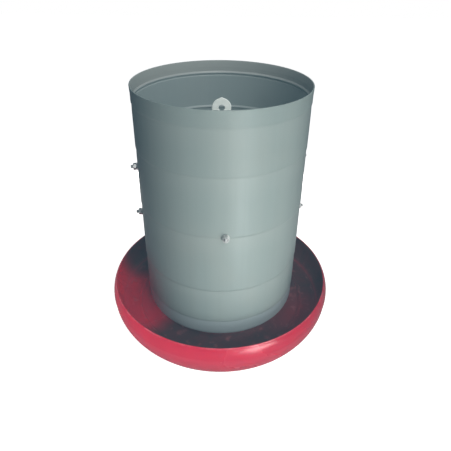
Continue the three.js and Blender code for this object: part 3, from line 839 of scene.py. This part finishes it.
def make_rivet():
    half = high("stem_rivet").x - RIVET_HEAD_HEIGHT
    end = half + RIVET_HEAD_HEIGHT
    upper = [(RIVET_RADIUS, half, 0.2), (RIVET_HEAD, half, 0.2)]
    upper += curve((RIVET_HEAD, half + 0.4), (RIVET_HEAD - 0.4, end), (0, end), 10)
    lower = [(radius, -height, fillet) for radius, height, fillet in reversed(upper)]
    shape = turned(rounded(lower + upper, loop=False), THREAD_SIDES)
    place = aimed(middle("stem_rivet"), RIGHT)
    finish_piece(solid("collar_rivet", shape, place), "stem_rivet", "base", "zinc_steel")


# ---------------------------------------------------------------- fasteners, made along +Z


def thread_ring(size, height, end, start):
    """Ring of a screw thread: one helical groove, running out at its start and bevelled at its end."""
    depth = THREAD_DEPTH * size.pitch
    fade = min(1, max(0, (height - start) / size.pitch))
    ring = []
    for index, (x, y) in enumerate(circle(1, THREAD_SIDES)):
        phase = (height / size.pitch - index / THREAD_SIDES) % 1
        groove = min(1, 1.25 * (1 - abs(2 * phase - 1)))
        radius = size.radius - depth * fade * groove
        radius = min(radius, size.radius - depth + end - height)
        ring.append((x * radius, y * radius, height))
    return ring


def cross(reach, half_width, height):
    """Level plus-shaped ring."""
    ring = []
    for quarter in range(4):
        turn = Matrix.Rotation(math.pi / 2 * quarter, 2)
        for point in ((reach, -half_width), (reach, half_width), (half_width, half_width)):
            corner = turn @ Vector(point)
            ring.append((corner.x, corner.y, height))
    return ring


def screw_shape(size, length, thread_from):
    """Pan-head screw whose head bears at height 0 and whose thread ends at its length."""
    head = rounded([
        (0, -size.head_height, 0),
        (size.head, -size.head_height, 0.55 * size.head_height),
        (size.head, 0, 0.3),
        (size.radius, 0, 0.15),
        (size.radius, thread_from, 0),
    ], loop=False)
    rings = [[(x, y, height) for x, y in circle(radius, THREAD_SIDES)]
             for radius, height in head if radius > MM]
    rows = math.ceil((length - thread_from) / size.pitch * THREAD_ROWS)
    for row in range(1, rows + 1):
        height = thread_from + (length - thread_from) * row / rows
        rings.append(thread_ring(size, height, length, thread_from))
    return skin(rings)


def nut_shape(size, height):
    """Hexagon nut with both faces chamfered at 30 degrees and its hole countersunk."""
    apothem = size.across_flats / 2
    face = 0.95 * apothem
    hole = size.radius + 0.1
    lower = []
    upper = []
    for index, (x, y) in enumerate(circle(1, NUT_SIDES)):
        within = (index * 2 * math.pi / NUT_SIDES) % (math.pi / 3) - math.pi / 6
        reach = apothem / math.cos(within)
        drop = (reach - face) * math.tan(NUT_BEVEL)
        lower.append((x * reach, y * reach, drop))
        upper.append((x * reach, y * reach, height - drop))

    def level(radius, z):
        return [(x, y, z) for x, y in circle(radius, NUT_SIDES)]

    return skin([
        level(hole, NUT_SINK), level(hole + NUT_SINK, 0), level(face, 0), lower,
        upper, level(face, height), level(hole + NUT_SINK, height), level(hole, height - NUT_SINK),
    ], loop=True)


def washer_shape(size, thickness):
    hole = size.radius + BOLT_GAP
    outline = rounded([
        (hole, 0, 0.3),
        (size.washer, 0, 0.35),
        (size.washer, thickness, 0.5),
        (hole, thickness, 0.3),
    ])
    return turned(outline, SMALL_SIDES)


def make_fastener(name, size, direction, body):
    """Screw, washer and nut on the axis that the CAD washer gives."""
    centre = middle(f"{name}_washer")
    foot = centre - direction * centre.dot(direction)
    washer_from, washer_to = span(f"{name}_washer", direction)
    nut_from, nut_to = span(f"{name}_nut", direction)
    head_from, screw_end = span(f"{name}_screw", direction)
    bearing = head_from + size.head_height

    screw_place = aimed(foot + direction * bearing, direction)
    length = screw_end - bearing
    screw = solid(f"{name}_bolt", screw_shape(size, length, length * PLAIN_SHANK), screw_place)
    top = -size.head_height
    mouth = cross(0.5 * size.head, 0.12 * size.head, top - 0.2)
    recess = skin([mouth, cross(0.2 * size.head, 0.08 * size.head, top + RECESS_DEPTH)])
    carve(screw, [solid("recess", recess, screw_place)])
    finish_piece(screw, f"{name}_screw", body, "zinc_steel")

    washer = washer_shape(size, washer_to - washer_from)
    washer = solid(f"{name}_plain_washer", washer, aimed(foot + direction * washer_from, direction))
    finish_piece(washer, f"{name}_washer", body, "zinc_steel")
    nut = nut_shape(size, nut_to - nut_from)
    nut = solid(f"{name}_hex_nut", nut, aimed(foot + direction * nut_from, direction))
    finish_piece(nut, f"{name}_nut", body, "zinc_steel", sharp=20)


# ---------------------------------------------------------------- bent bars


def bar_section(to_end):
    half_width = BAR_WIDTH / 2 - inset(to_end, BAR_CORNER)
    half_depth = BAR_THICKNESS / 2 - inset(to_end, BAR_EDGE)
    edge = min(BAR_EDGE, 0.9 * half_depth)
    corners = [
        (-half_depth, -half_width, edge),
        (half_depth, -half_width, edge),
        (half_depth, half_width, edge),
        (-half_depth, half_width, edge),
    ]
    return rounded(corners, pieces=3)


def make_bar(node, bolt, tabs):
    """Bar through the stem with both ends bent up, or down when tabs is -1."""
    direction = outward(f"{bolt}_washer")
    reach = span(node, direction)[1] - BAR_THICKNESS / 2
    level = (low(node).z if tabs > 0 else high(node).z) + tabs * BAR_THICKNESS / 2
    tab_end = high(node).z if tabs > 0 else low(node).z
    bend = BAR_BEND - BAR_THICKNESS / 2
    corners = [(-reach, tab_end, 0), (-reach, level, bend), (reach, level, bend), (reach, tab_end, 0)]
    path = rounded(corners, loop=False, pieces=8)
    path = with_close_ends(divided(path, 8, loop=False))
    turn = Matrix.Rotation(math.atan2(direction.y, direction.x), 4, "Z")
    bar = solid(f"{node}_strip", carried(path, bar_section), turn)
    bolt_height = middle(f"{bolt}_washer").z
    holes = [
        drill(STEM_RADIUS + SLIDE_GAP, Vector((0, 0, level)), UP, 4 * BAR_THICKNESS, SMALL_SIDES),
        drill(M6.radius + BOLT_GAP, Vector((0, 0, bolt_height)), direction, 4 * reach),
    ]
    carve(bar, holes)
    finish_piece(bar, node, "hopper", "zinc_steel")


# ---------------------------------------------------------------- height pin and bearing washer


def pin_section(to_end):
    return circle(PIN_RADIUS - inset(to_end, PIN_TIP), THREAD_SIDES)


def make_pin():
    """Bent wire pin; it is made along +X and turned to point forwards."""
    behind = -high("height_pin").y
    ahead = -low("height_pin").y - PIN_RADIUS
    level = high("height_pin").z - PIN_RADIUS
    path = rounded([(behind, level, 0), (ahead, level, PIN_BEND), (ahead, low("height_pin").z, 0)],
                   loop=False, pieces=12)
    path = with_close_ends(path, (0.06, 0.2, 0.5, 1))
    pin = solid("height_pin_wire", carried(path, pin_section), Matrix.Rotation(-math.pi / 2, 4, "Z"))
    finish_piece(pin, "height_pin", "pin", "zinc_steel")


def make_bearing():
    bottom = low("bearing_washer").z
    top = high("bearing_washer").z
    bore = STEM_RADIUS + SLIDE_GAP
    radius = high("bearing_washer").x
    outline = rounded([(bore, bottom, 0.4), (radius, bottom, 0.4), (radius, top, 0.6), (bore, top, 0.4)])
    bearing = solid("bearing_plate", turned(outline, 2 * SMALL_SIDES))
    finish_piece(bearing, "bearing_washer", "bearing", "zinc_steel")


# ---------------------------------------------------------------- the feeder

make_pan()
make_tub()
make_stem()
make_flange()
make_rivet()
make_pin()
make_bearing()
make_bar("cross_bar_lower", "cross_bolt_right", -1)
make_bar("cross_bar_upper", "cross_bolt_front", 1)
make_bar("guide_bar", "guide_bolt_right", 1)
for wall_bolt in WALL_BOLTS:
    make_fastener(wall_bolt, M6, outward(f"{wall_bolt}_washer"), "hopper")
for flange_screw in FLANGE_SCREWS:
    make_fastener(flange_screw, M5, DOWN, "base")

# ---------------------------------------------------------------- floor, light and camera

FLOOR_HALF = 4000
FLOOR_TONES = (0.48, 0.48, 0.48), (0.52, 0.52, 0.52)

WHITE = (1, 1, 1)
WARM = (1, 0.96, 0.92)
WARMER = (1, 0.93, 0.9)
COOL = (0.94, 1, 0.97)
AMBIENT = (0.62, 0.95, 1.25)
AMBIENT_STRENGTH = 0.05
BLACK_LEVELS = (0.018, 0.035, 0.048)  # red, green, blue

SENSOR_WIDTH = 36
LENS = 35.04
SHIFT_Y = -0.0565  # share of the picture's width
CAMERA_BACK = 683  # from the feeder's axis
CAMERA_ABOVE_RIM = 182
PITCH_DOWN = math.radians(30.13)
YAW_RIGHT = math.radians(0.68)
ROLL = math.radians(0.75)


def make_floor():
    """Pale floor that is plain white to the camera, and a mid grey in the light that it gives back."""
    paint = Paint("floor")
    tone = paint.noise(paint.place, 3, 2)
    colour = paint.blend(tone, *FLOOR_TONES)
    seen = paint.add("ShaderNodeLightPath").outputs["Is Camera Ray"]
    paint.surface(Base_Color=colour, Roughness=0.8, Specular_IOR_Level=0.1,
                  Emission_Color=(*WHITE, 1), Emission_Strength=seen)
    half = FLOOR_HALF
    corners = [(-half, -half, 0), (half, -half, 0), (half, half, 0), (-half, half, 0)]
    mesh = bpy.data.meshes.new("floor")
    mesh.from_pydata([Vector(corner) * MM for corner in corners], [], [(0, 1, 2, 3)])
    mesh.materials.append(paint.material)
    floor = bpy.data.objects.new("floor", mesh)
    bpy.context.collection.objects.link(floor)


def make_world():
    """White surroundings for the camera, and a dim even light for the object."""
    world = bpy.data.worlds.new("studio")
    world.use_nodes = True
    bpy.context.scene.world = world
    nodes = world.node_tree.nodes
    links = world.node_tree.links
    seen = nodes.new("ShaderNodeBackground")
    seen.inputs["Color"].default_value = (*WHITE, 1)
    seen.inputs["Strength"].default_value = 1
    lit = nodes["Background"]
    lit.inputs["Color"].default_value = (*AMBIENT, 1)
    lit.inputs["Strength"].default_value = AMBIENT_STRENGTH
    path = nodes.new("ShaderNodeLightPath")
    mix = nodes.new("ShaderNodeMixShader")
    links.new(path.outputs["Is Camera Ray"], mix.inputs[0])
    links.new(lit.outputs[0], mix.inputs[1])
    links.new(seen.outputs[0], mix.inputs[2])
    links.new(mix.outputs[0], nodes["World Output"].inputs[0])


def softbox(name, azimuth, elevation, distance, size, power, colour=WHITE, lights="all", only=None):
    """Area light of (width, height) aimed at the feeder; azimuth is from the front towards +X.

    Angles are degrees and power is watts. lights is all, soft for no highlights, or gloss for highlights
    alone. only names the one piece that the lamp lights.
    """
    lamp = bpy.data.lights.new(name, "AREA")
    lamp.shape = "RECTANGLE"
    lamp.size = size[0] * MM
    lamp.size_y = size[1] * MM
    lamp.energy = power
    lamp.color = colour
    around = math.radians(azimuth)
    above = math.radians(elevation)
    level = math.cos(above)
    direction = Vector((math.sin(around) * level, -math.cos(around) * level, math.sin(above)))
    target = UP * RIM / 2
    thing = bpy.data.objects.new(name, lamp)
    thing.matrix_world = aimed((target + direction * distance) * MM, direction)
    thing.visible_camera = False
    thing.visible_glossy = lights != "soft"
    thing.visible_diffuse = lights != "gloss"
    if only:
        receivers = bpy.data.collections.new(f"lit_by_{name}")
        receivers.objects.link(bpy.data.objects[only])
        thing.light_linking.receiver_collection = receivers
    bpy.context.collection.objects.link(thing)


def set_view():
    """Plain tone curve, with the blacks lifted a little by stray light in the lens."""
    view = bpy.context.scene.view_settings
    view.view_transform = "Standard"
    view.use_curve_mapping = True
    for channel, level in zip(view.curve_mapping.curves, BLACK_LEVELS):
        channel.points[0].location = (0, level)
    view.curve_mapping.update()


def make_camera():
    """Camera in front of the feeder, above its rim and looking down into it."""
    camera = bpy.data.cameras.new("camera")
    camera.sensor_width = SENSOR_WIDTH
    camera.lens = LENS
    camera.shift_y = SHIFT_Y
    ahead = math.cos(PITCH_DOWN)
    forward = Vector((math.sin(YAW_RIGHT) * ahead, math.cos(YAW_RIGHT) * ahead, -math.sin(PITCH_DOWN)))
    level = Vector((math.cos(YAW_RIGHT), -math.sin(YAW_RIGHT), 0))
    upright = level.cross(forward)
    right = level * math.cos(ROLL) + upright * math.sin(ROLL)
    top = upright * math.cos(ROLL) - level * math.sin(ROLL)
    place = Matrix((right, top, -forward)).transposed().to_4x4()
    place.translation = Vector((0, -CAMERA_BACK, RIM + CAMERA_ABOVE_RIM)) * MM
    thing = bpy.data.objects.new("camera", camera)
    thing.matrix_world = place
    bpy.context.collection.objects.link(thing)
    bpy.context.scene.camera = thing


make_floor()
make_world()
softbox("front_strip", 11, 2, 600, (150, 500), 0.9, lights="soft")
softbox("front_low", 28, -12, 600, (180, 180), 0.57, lights="soft")
softbox("front_high", 14, 40, 1600, (600, 600), 4.6)
softbox("right_high", 44, 40, 1600, (600, 600), 4.7, lights="soft")
softbox("front_gloss", 21, 0, 300, (40, 420), 0.2, lights="gloss")
softbox("overhead", 80, 80, 700, (200, 200), 0.7, lights="soft")
softbox("left_rim", -140, 8, 700, (200, 350), 0.5, WARMER, lights="soft")
softbox("behind_right", 158, -12, 650, (300, 150), 1.5, WARM, lights="soft")
softbox("behind_left", -160, -12, 650, (300, 150), 2, WARM, lights="soft")
softbox("pan_left", -50, -10, 700, (300, 100), 2.1, lights="soft", only="pan_moulding")
softbox("eye_front", 10, 35, 900, (200, 200), 3.4, COOL, lights="soft", only="stem_tube")
softbox("pan_gloss", 27, -20, 500, (210, 35), 0.42, lights="gloss", only="pan_moulding")
make_camera()
set_view()
